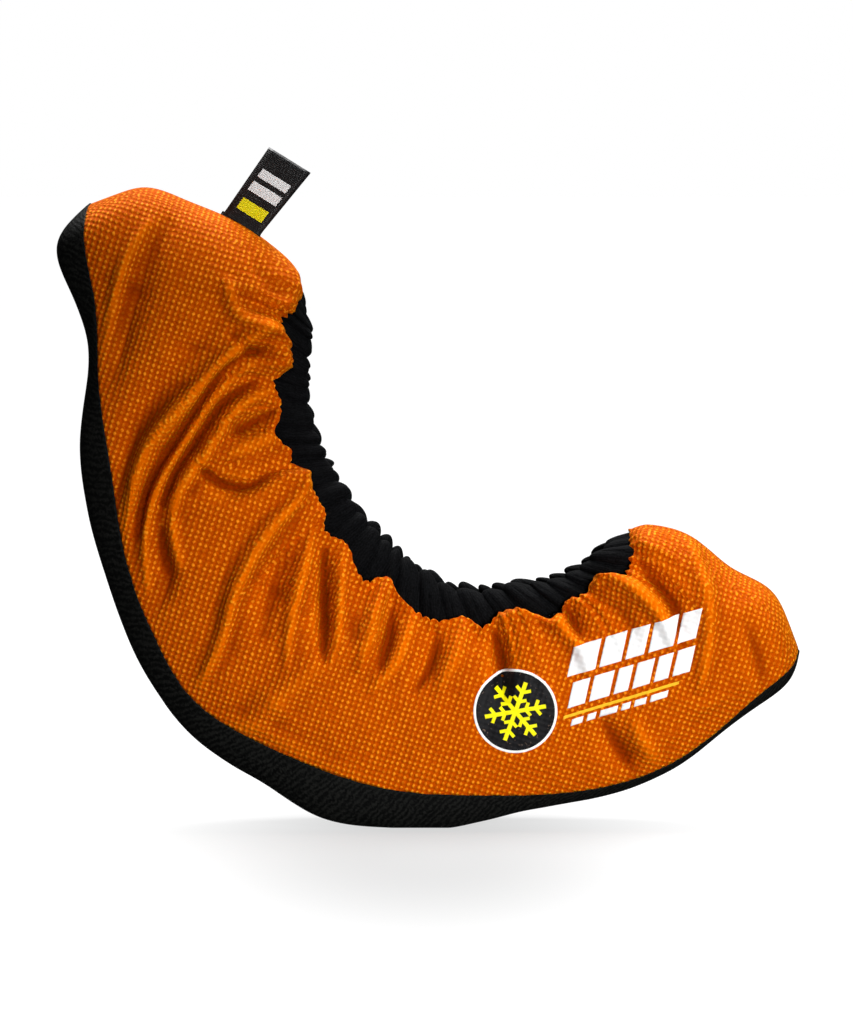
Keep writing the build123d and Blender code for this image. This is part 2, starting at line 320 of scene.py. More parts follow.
LEFT_FOLDS = [
    ([(-83, 182), (-90, 160), (-96, 138)], 2.8, 4.0),
    ([(-76, 172), (-84, 150), (-92, 128)], -3.2, 4.0),
    ([(-45, 146), (-62, 132), (-78, 112), (-84, 88)], 3.6, 4.0),
    ([(-52, 132), (-66, 116), (-76, 92)], -3.4, 3.0),
    ([(-43, 126), (-57, 112), (-68, 92), (-74, 72)], 3.2, 3.6),
    ([(-40, 112), (-50, 98), (-60, 76), (-68, 56)], -3.4, 3.4),
    ([(-34, 104), (-46, 84), (-56, 62), (-60, 44)], 3.6, 4.0),
    ([(-29, 92), (-38, 70), (-42, 50)], -3.8, 3.4),
    ([(-24, 84), (-28, 66), (-30, 48)], 3.0, 3.2),
    ([(-17, 76), (-19, 60), (-20, 46)], -3.6, 2.8),
    ([(-10, 70), (-12, 56), (-16, 40)], 3.0, 3.4),
    ([(-1, 66), (-2, 52), (-4, 42)], -3.6, 2.8),
    ([(8, 62), (7, 50), (4, 38)], 3.2, 3.4),
    ([(16, 62), (17, 48), (17, 38)], -3.4, 2.8),
    ([(26, 64), (28, 50), (28, 38)], 3.4, 4.0),
    ([(36, 66), (38, 52), (40, 40)], -3.6, 3.2),
    ([(46, 70), (50, 58), (54, 44)], 3.4, 4.0),
    ([(56, 78), (60, 64), (64, 50)], -3.4, 3.6),
    ([(66, 84), (72, 66), (76, 46)], 3.0, 4.0),
    ([(86, 76), (90, 58), (92, 44)], -2.4, 4.0),
]
FOLD_STRENGTH, FOLD_SHARPNESS = 1.05, 0.8


def crease_heights(xz, folds):
    """How far the cloth stands out of the smooth skin at each place, from the creases over it."""
    total = np.zeros(xz.shape[:-1])
    for points, height, width in folds:
        line = Line(points, 60).points
        reach = 3.2 * width
        near_by = ((xz > line.min(0) - reach) & (xz < line.max(0) + reach)).all(-1)
        gap = np.linalg.norm(xz[near_by][:, None] - line, axis=-1)
        along = gap.argmin(-1) / (len(line) - 1)
        fade = np.sin(np.pi * (0.07 + 0.86 * along)) ** 0.7
        away = gap.min(-1) / (FOLD_SHARPNESS * width * (0.7 + 0.4 * np.sin(np.pi * along)))
        profile = np.exp(-away ** 2.2) if height > 0 else np.exp(-away ** 1.8)
        total[near_by] += height * fade * profile
    return total


def crumple(xz, seed, count=170):
    """Small soft dents and ridges, each with its own place, direction and size."""
    rng = np.random.default_rng(seed)
    total = np.zeros(xz.shape[:-1])
    for _ in range(count):
        centre = rng.uniform((-105, 10), (105, 185))
        lean, long, wide = rng.uniform(0, np.pi), rng.uniform(5, 12), rng.uniform(1.8, 3.6)
        near_by = np.linalg.norm(xz - centre, axis=-1) < 3 * long
        away = xz[near_by] - centre
        along = away @ (np.cos(lean), np.sin(lean)) / long
        across = away @ (-np.sin(lean), np.cos(lean)) / wide
        total[near_by] += rng.uniform(-0.5, 0.6) * np.exp(-along ** 2 - across ** 2)
    return total


# ====== cloth simulation ======

# scale from millimetres, frames, rows and columns per simulated one, share of spare cloth, and how
# far a place may move in millimetres
SIM_SCALE, SIM_FRAMES, SIM_STEP = 0.02, 22, 2
SIM_SPARE, SIM_CAP = 0.16, 4.5


def add_group(piece, name, weights):
    group = piece.vertex_groups.new(name=name)
    for index, weight in enumerate(weights.ravel()):
        if weight > 0.001:
            group.add([index], float(weight), "REPLACE")
    return group.name


def settle(grid, held, spare, side):
    """The grid after its spare cloth has buckled into folds, its held points staying put.

    The simulation runs on every second row and column, at a larger scale, with no gravity and a
    little pressure from inside. held and spare are shares from 0 to 1 for each grid point."""
    rows, columns = np.arange(0, grid.shape[0], SIM_STEP), np.arange(0, grid.shape[1], SIM_STEP)
    coarse = grid[np.ix_(rows, columns)]
    faces = grid_faces(len(rows), len(columns), flip=side == LEFT)
    piece = make_mesh("settling", coarse.reshape(-1, 3) * SIM_SCALE / MM, faces)
    cloth = piece.modifiers.new("settle", "CLOTH")
    c = cloth.settings
    c.quality, c.mass, c.air_damping = 8, 0.3, 4.0
    c.tension_stiffness, c.compression_stiffness, c.shear_stiffness = 40, 40, 12
    c.bending_stiffness, c.bending_damping = 0.8, 0.5
    c.vertex_group_mass = add_group(piece, "held", held[np.ix_(rows, columns)])
    c.vertex_group_shrink = add_group(piece, "spare", spare[np.ix_(rows, columns)])
    c.shrink_min, c.shrink_max = 0.0, -SIM_SPARE
    c.use_pressure, c.uniform_pressure_force = True, 1.5
    c.effector_weights.gravity = 0
    cloth.collision_settings.use_collision = False
    cloth.point_cache.frame_start, cloth.point_cache.frame_end = 1, SIM_FRAMES
    for frame_number in range(1, SIM_FRAMES + 1):
        bpy.context.scene.frame_set(frame_number)
    settled = piece.evaluated_get(bpy.context.evaluated_depsgraph_get())
    points = np.zeros(len(piece.data.vertices) * 3, np.float32)
    settled.data.vertices.foreach_get("co", points)
    move = points.reshape(coarse.shape) / SIM_SCALE - coarse
    bpy.data.meshes.remove(piece.data)
    bpy.context.scene.frame_set(1)
    long = np.linalg.norm(move, axis=-1, keepdims=True)
    move *= np.minimum(1, SIM_CAP / np.maximum(long, 1e-6))
    for axis, known in enumerate((rows, columns)):
        every = np.arange(grid.shape[axis])
        move = np.apply_along_axis(lambda line: np.interp(every, known, line), axis, move)
    return grid + move


# ====== materials ======

class Shader:
    """A node material, built up by short calls."""

    def __init__(self, name):
        self.material = bpy.data.materials.new(name)
        self.material.use_nodes = True
        self.tree = self.material.node_tree
        self.bsdf = self.tree.nodes["Principled BSDF"]

    def node(self, kind, inputs=None, **settings):
        n = self.tree.nodes.new("ShaderNode" + kind)
        for key, value in settings.items():
            setattr(n, key, value)
        for key, value in (inputs or {}).items():
            if isinstance(value, bpy.types.NodeSocket):
                self.tree.links.new(value, n.inputs[key])
            else:
                n.inputs[key].default_value = value
        return n

    def math(self, operation, a, b=None, c=None):
        inputs = {k: value for k, value in enumerate((a, b, c)) if value is not None}
        return self.node("Math", inputs, operation=operation).outputs[0]

    def times(self, a, b):
        return self.math("MULTIPLY", a, b)

    def mix(self, share, a, b):
        return self.node("Mix", {0: share, 6: a, 7: b}, data_type="RGBA").outputs[2]

    def ramp(self, value, low, high, first=0.0, last=1.0):
        """first at low, last at high, smooth between."""
        inputs = {0: value, 1: low, 2: high, 3: first, 4: last}
        return self.node("MapRange", inputs, interpolation_type="SMOOTHSTEP").outputs[0]

    def place(self):
        return self.node("TexCoord").outputs["Object"]

    def noise(self, scale, detail):
        inputs = {"Scale": scale, "Detail": detail, "Roughness": 0.55, "Vector": self.place()}
        return self.node("TexNoise", inputs).outputs["Fac"]

    def cloth(self, turn=0.0):
        """The two cloth coordinates in millimetres, turned by an angle in degrees."""
        parts = self.node("SeparateXYZ", {0: self.node("UVMap", uv_map="cloth").outputs[0]}).outputs
        x, y = parts[0], parts[1]
        c, s = math.cos(math.radians(turn)), math.sin(math.radians(turn))
        along = self.math("ADD", self.times(x, c), self.times(y, s))
        across = self.math("SUBTRACT", self.times(y, c), self.times(x, s))
        return along, across

    def wave(self, value, pitch):
        """A wave from -1 to 1 of that pitch."""
        return self.math("COSINE", self.times(value, 2 * math.pi / pitch))

    def tones(self, value, low, high, first, last):
        """The base colour: first where the value is low, last where it is high."""
        self.link(self.mix(self.ramp(value, low, high), first, last), "Base Color")

    def bump(self, height, distance):
        self.link(self.node("Bump", {"Height": height, "Distance": distance}).outputs[0], "Normal")

    def link(self, socket, name):
        self.tree.links.new(socket, self.bsdf.inputs[name])

    def set(self, **values):
        for key, value in values.items():
            self.bsdf.inputs[key.replace("_", " ")].default_value = value
        return self


WEAVE_PITCH, WEAVE_TURN = 1.65, -18  # millimetres and degrees


def woven_shell():
    """Coarse orange basket weave: crowns in a square grid on a deeper ground, their brightness a painted
    highlight.

    relief, from panel, is -1 in a deep crease and 1 on a ridge: painted shade darkens the creases and fades
    the crowns there, and painted light lightens the ridges."""
    s = Shader("woven_shell")
    along, across = s.cloth(WEAVE_TURN)
    wobble = s.math("SUBTRACT", s.noise(330, 3), 0.5)
    warp = s.wave(s.math("ADD", along, wobble), WEAVE_PITCH)
    weft = s.wave(s.math("SUBTRACT", across, wobble), WEAVE_PITCH)
    floats = s.math("MULTIPLY_ADD", warp, 0.28, s.math("MULTIPLY_ADD", weft, 0.22, 0.5))
    fibre = s.noise(2600, 2)
    uneven = s.noise(620, 4)
    relief = s.node("Attribute", attribute_name="relief").outputs["Fac"]
    # The first mask is for painted shade in the creases, the second for painted light on the ridges.
    deep, painted_ridge_light = s.ramp(relief, 0.02, -0.75), s.ramp(relief, 0.0, 0.8)
    # The crown mask is a painted highlight on the thread crowns, varied at random; seen fades it out in the
    # creases as painted shade.
    crown = s.times(s.ramp(floats, 0.5, 0.94), s.ramp(uneven, 0.36, 0.6, 0.2, 0.88))
    seen = s.times(crown, s.ramp(deep, 0.0, 1.0, 1.0, 0.15))
    ground = s.mix(s.noise(90, 4), (0.36, 0.034, 0.0, 1), (0.53, 0.066, 0.0, 1))
    # Painted light: the ground is lightened on the ridges.
    ground = s.mix(painted_ridge_light, ground, (0.74, 0.125, 0.0, 1))
    ground = s.mix(s.times(s.ramp(fibre, 0.35, 0.7), 0.3), ground, (0.80, 0.14, 0.0, 1))
    # Painted highlight: the crowns take a bright yellow-orange.
    colour = s.mix(seen, ground, (1.0, 0.33, 0.012, 1))
    # Painted shade: the creases are darkened towards a deep brown.
    colour = s.mix(s.times(deep, 0.8), colour, (0.17, 0.013, 0.0, 1))
    s.link(colour, "Base Color")
    s.link(s.ramp(crown, 0.0, 1.0, 0.75, 0.45), "Roughness")
    s.bump(s.math("MULTIPLY_ADD", fibre, 0.3, floats), 0.00042)
    return s.set(Specular_IOR_Level=0.05, Specular_Tint=(1.0, 0.42, 0.0, 1), Sheen_Weight=0.26,
                 Sheen_Roughness=0.45, Sheen_Tint=(1.0, 0.42, 0.0, 1)).material


def sole_rubber():
    """Near-black coated cloth, grainy, with faint slanting streaks."""
    s = Shader("sole_rubber")
    along = s.cloth(28)[0]
    wobble = s.times(s.noise(240, 4), 5.0)
    streak = s.wave(s.math("ADD", along, wobble), 1.9)
    grain = s.noise(1400, 4)
    height = s.math("MULTIPLY_ADD", grain, 1.2, s.times(streak, 0.14))
    s.tones(height, 0.45, 0.85, (0.0012, 0.0014, 0.0013, 1), (0.0095, 0.0098, 0.0088, 1))
    s.link(s.ramp(grain, 0.3, 0.7, 0.5, 0.75), "Roughness")
    s.bump(height, 0.00024)
    return s.set(Specular_IOR_Level=0.07).material


def collar_knit():
    """Matt black knit with faint ribs running down the collar."""
    s = Shader("collar_knit")
    along = s.cloth()[0]
    rib = s.wave(s.math("MULTIPLY_ADD", s.noise(420, 4), 2.4, along), 0.9)
    grain = s.noise(1600, 4)
    height = s.math("MULTIPLY_ADD", rib, 0.1, grain)
    s.tones(height, 0.3, 0.75, (0.0011, 0.0012, 0.0014, 1), (0.0046, 0.0048, 0.0055, 1))
    s.bump(height, 0.00022)
    return s.set(Roughness=0.8, Specular_IOR_Level=0.04).material


def lining_cloth():
    """Charcoal towelling: short loops that stand every way."""
    s = Shader("lining_cloth")
    loops = s.node("TexVoronoi", {"Scale": 1100, "Vector": s.place()}).outputs[0]
    pile = s.math("MULTIPLY_ADD", s.noise(500, 4), 0.6, loops)
    s.tones(pile, 0.2, 1.0, (0.012, 0.012, 0.013, 1), (0.003, 0.003, 0.0035, 1))
    s.bump(pile, 0.0008)
    return s.set(Roughness=0.95, Specular_IOR_Level=0.2, Sheen_Weight=0.3, Sheen_Roughness=0.5).material


def webbing(name, light, dark, pitch):
    """Flat woven tape with ribs across it."""
    s = Shader(name)
    along, across = s.cloth()
    rib = s.times(s.wave(along, pitch), s.wave(across, pitch * 1.4))
    height = s.math("MULTIPLY_ADD", s.noise(1800, 3), 0.5, s.times(rib, 0.4))
    s.tones(height, -0.1, 0.6, dark, light)
    s.bump(height, 0.0002)
    return s.set(Roughness=0.7, Specular_IOR_Level=0.35, Sheen_Weight=0.08).material


def pad_felt():
    """Grey matted felt."""
    s = Shader("pad_felt")
    matting = s.math("MULTIPLY_ADD", s.noise(3000, 3), 0.5, s.noise(600, 5))
    s.tones(matting, 0.5, 1.0, (0.05, 0.05, 0.052, 1), (0.13, 0.13, 0.135, 1))
    s.bump(matting, 0.0005)
    return s.set(Roughness=0.95, Specular_IOR_Level=0.2, Sheen_Weight=0.25).material


INK_BLACK, INK_WHITE = (0.003, 0.003, 0.004, 1), (0.92, 0.92, 0.92, 1)
INK_YELLOW, INK_AMBER = (0.93, 0.84, 0.0, 1), (0.95, 0.55, 0.02, 1)


def ink_finish(s, colour):
    """Screen ink on cloth: the colour, slightly worn, with the weave showing through."""
    grain = s.noise(900, 3)
    s.link(s.mix(s.ramp(grain, 0.62, 0.8, 0.0, 0.25), colour, (0.75, 0.5, 0.35, 1)), "Base Color")
    along, across = s.cloth(WEAVE_TURN)
    weave = s.math("ADD", s.wave(along, WEAVE_PITCH), s.wave(across, WEAVE_PITCH))
    s.bump(s.math("MULTIPLY_ADD", weave, 0.25, grain), 0.00012)
    return s.set(Roughness=0.6, Specular_IOR_Level=0.15).material


BADGE_PLACE, BADGE_RADIUS, BADGE_RIM = (26.0, 36.0), 12.5, 0.75
ARM_HALF, ARM_LONG, BRANCH_HALF = 0.62, 9.2, 0.5
BRANCHES = [(3.1, 2.3), (6.0, 2.6)]  # where each pair leaves its arm, and its length


def badge_ink():
    """A black disc with a white rim and a yellow six-armed ice crystal."""
    s = Shader("badge_ink")
    x, z = s.cloth()
    x, z = s.math("SUBTRACT", x, BADGE_PLACE[0]), s.math("SUBTRACT", z, BADGE_PLACE[1])
    far = s.math("SQRT", s.math("MULTIPLY_ADD", x, x, s.times(z, z)))
    angle = s.math("ADD", s.math("ARCTAN2", z, x), math.radians(200))
    sixth = s.math("SUBTRACT", s.math("MODULO", angle, math.pi / 3), math.pi / 6)
    folded = s.math("ABSOLUTE", sixth)
    out, off = (s.times(far, s.math(turn, folded)) for turn in ("COSINE", "SINE"))

    def inside(value, limit):
        return s.math("LESS_THAN", value, limit)

    lean = math.sin(math.pi / 3)
    shape = s.times(inside(off, ARM_HALF), inside(out, ARM_LONG))
    for foot, long in BRANCHES:
        ahead = s.math("SUBTRACT", out, foot)
        slip = s.math("SUBTRACT", s.times(ahead, lean), s.times(off, 0.5))
        run = s.math("MULTIPLY_ADD", ahead, 0.5, s.times(off, lean))
        branch = s.times(inside(s.math("ABSOLUTE", slip), BRANCH_HALF), inside(run, long))
        shape = s.math("MAXIMUM", shape, s.times(branch, s.math("GREATER_THAN", run, 0.0)))
    colour = s.mix(shape, INK_BLACK, INK_YELLOW)
    rim = s.math("GREATER_THAN", far, BADGE_RADIUS - BADGE_RIM)
    return ink_finish(s, s.mix(rim, colour, INK_WHITE))


def stripe_ink():
    """White ink, and amber ink for the thin line."""
    s = Shader("stripe_ink")
    thin = s.node("Attribute", attribute_name="thin").outputs["Fac"]
    return ink_finish(s, s.mix(thin, INK_WHITE, INK_AMBER))


TAB_WIDTH, TAB_LENGTH = 13.5, 23.0
# each printed bar: where it starts and ends along the ribbon, its half-width and its ink
BARS = [(1.6, 5.4, 4.4, INK_YELLOW), (8.0, 11.2, 4.9, INK_WHITE), (12.8, 15.6, 4.9, INK_WHITE)]


def label_ribbon():
    """Black satin ribbon with plain printed bars: one yellow, two white."""
    s = Shader("label_ribbon")
    across, along = s.cloth()
    cord = s.wave(s.math("ADD", along, s.times(s.noise(900, 2), 0.2)), 0.55)
    colour = (0.004, 0.004, 0.0045, 1)
    for low, high, half, ink in BARS:
        past, short = s.math("GREATER_THAN", along, low), s.math("LESS_THAN", along, high)
        within = s.math("LESS_THAN", s.math("ABSOLUTE", across), half)
        colour = s.mix(s.times(s.times(past, short), within), colour, ink)
    s.link(colour, "Base Color")
    s.bump(cord, 0.00006)
    return s.set(Roughness=0.42, Specular_IOR_Level=0.35, Sheen_Weight=0.05).material


SHELL, SOLE_BLACK, COLLAR_BLACK = woven_shell(), sole_rubber(), collar_knit()
LINING, PAD, BADGE, STRIPE = lining_cloth(), pad_felt(), badge_ink(), stripe_ink()
RIBBON = label_ribbon()
TAPE = webbing("seam_tape", (0.03, 0.03, 0.032, 1), (0.008, 0.008, 0.009, 1), 0.8)
ELASTIC = webbing("elastic_web", (0.06, 0.06, 0.06, 1), (0.012, 0.012, 0.012, 1), 1.1)


# ====== pieces ======

def follow_fold(piece):
    """The piece's placement is baked into its points."""
    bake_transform(piece)


def both_halves(piece, node, slot, flat=None, held=None, rests_on=()):
    """The piece stands for a node of each half."""
    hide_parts(node + "_heel", node + "_toe")
    follow_fold(piece)


def add_values(piece, name, values):
    """A number at each point of a piece, for its material."""
    attribute = piece.data.attributes.new(name, "FLOAT", "POINT")
    attribute.data.foreach_set("value", np.asarray(values, np.float32).ravel())


PANEL_ROWS, PANEL_COLUMNS = 460, 120
PANEL_RUN, PANEL_TALL = 240, 70  # about its length and height in millimetres
END_FADE = 14  # over this length the folds die out at the two tips


def blurred(values, half):
    """A grid of values averaged over a window of half rows and columns each way."""
    window = np.hanning(2 * half + 3)[1:-1]
    for axis in (0, 1):
        values = np.apply_along_axis(
            lambda line: np.convolve(np.pad(line, half, mode="edge"), window / window.sum(), "valid"),
            axis, values)
    return values


def panel(name, side, folds, seed):
    """One orange side: sewn down along the sole, gathered by the elastic along the mouth.

    The smooth skin is settled by the cloth simulation, and the folds, the puff above the seam of
    the collar and the ruffled edge stand out along its normals."""
    u, t = np.meshgrid(np.linspace(0, 1, PANEL_ROWS), np.linspace(0, 1, PANEL_COLUMNS), indexing="ij")
    ends = rise(u * PANEL_RUN, END_FADE, 2) * rise((1 - u) * PANEL_RUN, END_FADE, 2)
    ruffle = 0.45 * np.sin(330 * u + 4 * np.sin(61 * u)) + 0.3 * np.sin(420 * u + 3 * np.sin(83 * u))
    low, high = seam_v(u), edge_v[side](u) + ends * ruffle / depth(u)
    v = low + (high - low) * t
    base = skin(u, v, side)
    normals = grid_normals(base, side)
    xz = base[..., ::2]
    drop = (high - v) * depth(u)
    bulge = (high - collar_v(u, 10.5)) * depth(u)
    puff = np.clip(1.7 + 0.7 * bulge, 0.2, 4.2) * (1 - np.exp(-drop / 2.2)) * np.exp(-(drop / 15) ** 2)
    puff += 0.45 * np.clip(bulge, -3, 3) * np.clip(drop / 4, 0, 1) * np.exp(-(drop / 24) ** 2)
    sculpted = FOLD_STRENGTH * crease_heights(xz, folds) + crumple(xz, seed)
    above_seam = (v - low) * depth(u)
    sculpted = np.maximum(sculpted, -0.6 - 0.3 * above_seam)
    height = sculpted * np.clip(drop / 3, 0, 1) * np.clip(t * 10, 0, 1) + puff
    relief = (height * ends + 0.25)[..., None]
    cloth = flatten(base + normals * relief, xz)
    border = np.minimum(np.minimum(t, 1 - t) * PANEL_TALL, np.minimum(u, 1 - u) * PANEL_RUN)
    held = np.clip(1 - border / 3, 0, 1)
    spare = np.clip(0.25 + 0.75 * np.exp(-drop / 30), 0, 1)
    base = settle(base, held, spare, side)
    normals = grid_normals(base, side)
    outer = base + normals * relief
    inner = outer - grid_normals(outer, side) * PANEL_THICK
    piece = sheet_mesh(name, outer, inner, SHELL, cloth)
    # A high-pass of the fold heights, kept as relief so that the shell paints shade into the creases and
    # light onto the ridges.
    proud = np.clip((sculpted - blurred(sculpted, 9)) / 1.6, -1, 1)
    add_values(piece, "relief", np.concatenate([proud.ravel()] * 2))
    return piece, outer


right_panel, right_grid = panel("right_panel", RIGHT, RIGHT_FOLDS, 3)
left_panel = panel("left_panel", LEFT, LEFT_FOLDS, 8)[0]
both_halves(right_panel, "right_panel", "woven_shell", (0.085, 0.31), "gathered")
both_halves(left_panel, "left_panel", "woven_shell", (0.085, 0.31), "gathered")


LAYER_ROWS = 260


def layer(name, side, slot, material, low, high, outside, thick, span, columns=50, **sheet):
    """A cloth of even thickness lying under the skin between two shares of the height."""
    u, t = np.meshgrid(np.linspace(*span, LAYER_ROWS), np.linspace(0, 1, columns), indexing="ij")
    v = low(u) + (high(u) - low(u)) * t
    base = skin(u, v, side)
    base[..., 1] = side * np.maximum(np.abs(base[..., 1]), outside + thick + 0.3)
    normals = grid_normals(base, side)
    outer = base - normals * outside
    piece = sheet_mesh(name, outer, outer - normals * thick, material, base[..., ::2])
    both_halves(piece, name, slot, **sheet)


for side, word in ((RIGHT, "right"), (LEFT, "left")):
    layer(word + "_lining", side, "lining_cloth", LINING, low=lambda u: 10 / depth(u),
          high=lambda u: collar_v(u, 13.0), outside=6.6, thick=1.6, span=(0.08, 0.92),
          flat=(0.06, 0.27), held="stretched", rests_on=[word + "_panel"])
    layer(word + "_seam_tape", side, "seam_tape", TAPE,
          low=lambda u: np.maximum(seam_v(u) - 3.5 / depth(u), 0),
          high=lambda u: seam_v(u) + 4.5 / depth(u), outside=2.0, thick=0.6, span=(0.02, 0.98),
          columns=8)


FLOOR_ROWS, FLOOR_COLUMNS = 300, 24


def floor_band(name, slot, material, half, outside, thick, span, edge_lift=0.0, **sheet):
    """A strip along the inside of the sole, its two edges turned up by a lift."""
    u = np.linspace(*span, FLOOR_ROWS)
    w = np.linspace(-1, 1, FLOOR_COLUMNS)
    line = SOLE.at(u)
    run = unit(np.gradient(line, axis=0))
    up = np.stack([-run[:, 1], run[:, 0]], 1)
    taper = rise(u * SOLE.length, 18, 2) * rise((1 - u) * SOLE.length, 18, 2)
    lift = outside + thick + edge_lift * np.clip(np.abs(w) * 2 - 1, 0, 1) ** 2
    place = line[:, None] + up[:, None] * lift[None, :, None]
    y = half * taper[:, None] * w[None]
    inner = np.stack([place[..., 0], y, place[..., 1]], -1)
    down = np.stack([up[:, 0], np.zeros(FLOOR_ROWS), up[:, 1]], -1)[:, None] * thick
    cloth = paired(u[:, None] * SOLE.length, y)
    piece = sheet_mesh(name, inner, inner - down, material, cloth)
    both_halves(piece, name, slot, **sheet)
    return piece


floor_band("lining_base", "lining_cloth", LINING, half=9.6, outside=2.6, thick=1.8, span=(0.03, 0.97),
           edge_lift=4.0, flat=(0.022, 0.34), held="laid", rests_on=["sole_strip"])
blade_pad = floor_band("blade_pad", "pad_felt", PAD, half=5.6, outside=5.2, thick=2.2,
                       span=(0.06, 0.94))


SOLE_ROWS, SOLE_COLUMNS = 460, 72
SOLE_FLAT = 0.5  # share of the strip's width that is the walking face
SOLE_PROUD, SOLE_RIPPLE = 0.55, 0.3


def sole_strip():
    """The black strip round the walking side, from one side seam under the sole to the other."""
    u = np.linspace(0, 1, SOLE_ROWS)
    grid = np.zeros((SOLE_ROWS, SOLE_COLUMNS, 3))
    places = np.linspace(-1, 1, SOLE_COLUMNS)
    for j, place in enumerate(places):
        side = RIGHT if place < 0 else LEFT
        up = max(abs(place) - SOLE_FLAT, 0) / (1 - SOLE_FLAT)
        points = skin(u, seam_v(u) * up, side)
        points[:, 1] *= min(abs(place) / SOLE_FLAT, 1)
        grid[:, j] = points
    normals = grid_normals(grid, 1)
    rng = np.random.default_rng(5)
    ripple = np.convolve(rng.normal(0, 1, SOLE_ROWS + 24), np.hanning(25) / 6, "valid")
    proud = SOLE_PROUD + SOLE_RIPPLE * ripple[:, None] * np.abs(places)[None]
    outer = grid + normals * proud[..., None]
    outer[..., 2] = np.maximum(outer[..., 2], 0)
    cloth = paired(u[:, None] * SOLE.length, places[None] * 26)
    return sheet_mesh("sole_strip", outer, outer - normals * SOLE_THICK, SOLE_BLACK, cloth)


both_halves(sole_strip(), "sole_strip", "sole_rubber", (0.052, 0.356), "stretched")


# ---- the ruffled collar and the elastic inside it ----

MOUTH_REACH = (0.026, 0.978)  # the shares of the mouth's line where the loop turns round


def mouth_loop(inset, half, count):
    """A closed loop round the mouth: centres, up and outward directions, and distance along it."""
    length = MOUTH.length * (MOUTH_REACH[1] - MOUTH_REACH[0])
    straight = length - 2 * half
    lap = straight + math.pi * half
    total = 2 * lap
    s = np.arange(count) / count * total
    back, past = s >= lap, s % lap
    angle = np.maximum(past - straight, 0) / half
    ahead = half + np.minimum(past, straight) + half * np.sin(angle)
    along = np.where(back, length - ahead, ahead)
    y = np.where(back, half, -half) * np.cos(angle)
    u = MOUTH_REACH[0] + along / MOUTH.length
    xz = crescent(u, collar_v(u, inset))
    up = unit(crescent(u, collar_v(u, inset - 2)) - xz)
    centres = np.stack([xz[:, 0], y, xz[:, 1]], -1)
    up = np.stack([up[:, 0], np.zeros(count), up[:, 1]], -1)
    run = np.roll(centres, -1, 0) - np.roll(centres, 1, 0)
    return centres, up, unit(np.cross(run, up)), s, total


def lumps(s, total, spacing, seed):
    """Gathers along a closed loop: 0 at each pinch, up to 1 or so on the puff between two."""
    rng = np.random.default_rng(seed)
    count = int(total / spacing)
    gaps = rng.uniform(0.6, 1.4, count)
    edges = np.r_[0, np.cumsum(gaps / gaps.sum() * total)]
    heights = rng.uniform(0.55, 1.15, count) * np.sqrt(gaps / gaps.mean())
    k = np.clip(np.searchsorted(edges, s % total, "right") - 1, 0, count - 1)
    share = (s % total - edges[k]) / (edges[k + 1] - edges[k])
    return heights[k] * np.maximum(np.sin(np.pi * share), 0) ** 0.65


COLLAR_TALL, COLLAR_THICK, COLLAR_LOOP, COLLAR_LEAN = 5.8, 1.5, 8.0, 1.3
COLLAR_INSET = 6.6  # from the mouth's line to the middle of the tube
COLLAR_COUNT, COLLAR_ROUND = 1400, 36
PUFF_SPACING, FINE_SPACING = 5.4, 2.7  # between two pinches of the large and the small gathers
END_TALLER, HEEL_STRETCH, TOE_STRETCH = 2.6, 24, 20


def collar_grid(inward):
    """The collar's cloth as rings of points, moved towards the middle of its section."""
    centres, up, outward, s, total = mouth_loop(COLLAR_INSET, COLLAR_LOOP, COLLAR_COUNT)
    heel_middle = total - math.pi * COLLAR_LOOP / 2
    from_heel = np.abs((s - heel_middle + total / 2) % total - total / 2)
    from_toe = total / 2 - from_heel
    near_end = np.exp(-(from_heel / HEEL_STRETCH) ** 4) + np.exp(-(from_toe / TOE_STRETCH) ** 4)
    rows = []
    for phi in np.arange(COLLAR_ROUND) / COLLAR_ROUND * 2 * math.pi:
        tall, thick = math.sin(phi), math.cos(phi)
        puff = lumps(s + 0.7 * tall * np.sin(s / 11.0), total, PUFF_SPACING, 11)
        fine = lumps(s - 0.5 * tall * np.sin(s / 7.0), total, FINE_SPACING, 23)
        high = COLLAR_TALL * (1.45 if tall < 0 else 0.68) + 2.3 * puff * max(tall, 0) ** 1.5 - inward
        high = high + END_TALLER * near_end * max(tall, 0)
        wide = COLLAR_THICK * 0.8 + 1.7 * puff + 0.5 * fine - inward
        shape_tall = math.copysign(abs(tall) ** 0.8, tall)
        out = wide * thick - COLLAR_LEAN * shape_tall
        rows.append(centres + up * (high * shape_tall)[:, None] + outward * out[:, None])
    return np.stack(rows, 1)


def collar():
    """The gathered black casing of the elastic, a hollow tube puffed between its pinches."""
    count = COLLAR_COUNT * COLLAR_ROUND
    points = np.concatenate([collar_grid(0).reshape(-1, 3), collar_grid(0.5).reshape(-1, 3)])
    wrapped = dict(wrap_rows=True, wrap_columns=True)
    faces = np.concatenate([grid_faces(COLLAR_COUNT, COLLAR_ROUND, False, **wrapped),
                            grid_faces(COLLAR_COUNT, COLLAR_ROUND, True, start=count, **wrapped)])
    along = np.arange(COLLAR_COUNT)[:, None] * 0.3
    angle = np.arange(COLLAR_ROUND)[None] / COLLAR_ROUND * 2 * math.pi
    cloth = paired(along, np.sin(angle) * 11).reshape(-1, 2)
    return make_mesh("collar", points, faces, COLLAR_BLACK, np.concatenate([cloth] * 2))


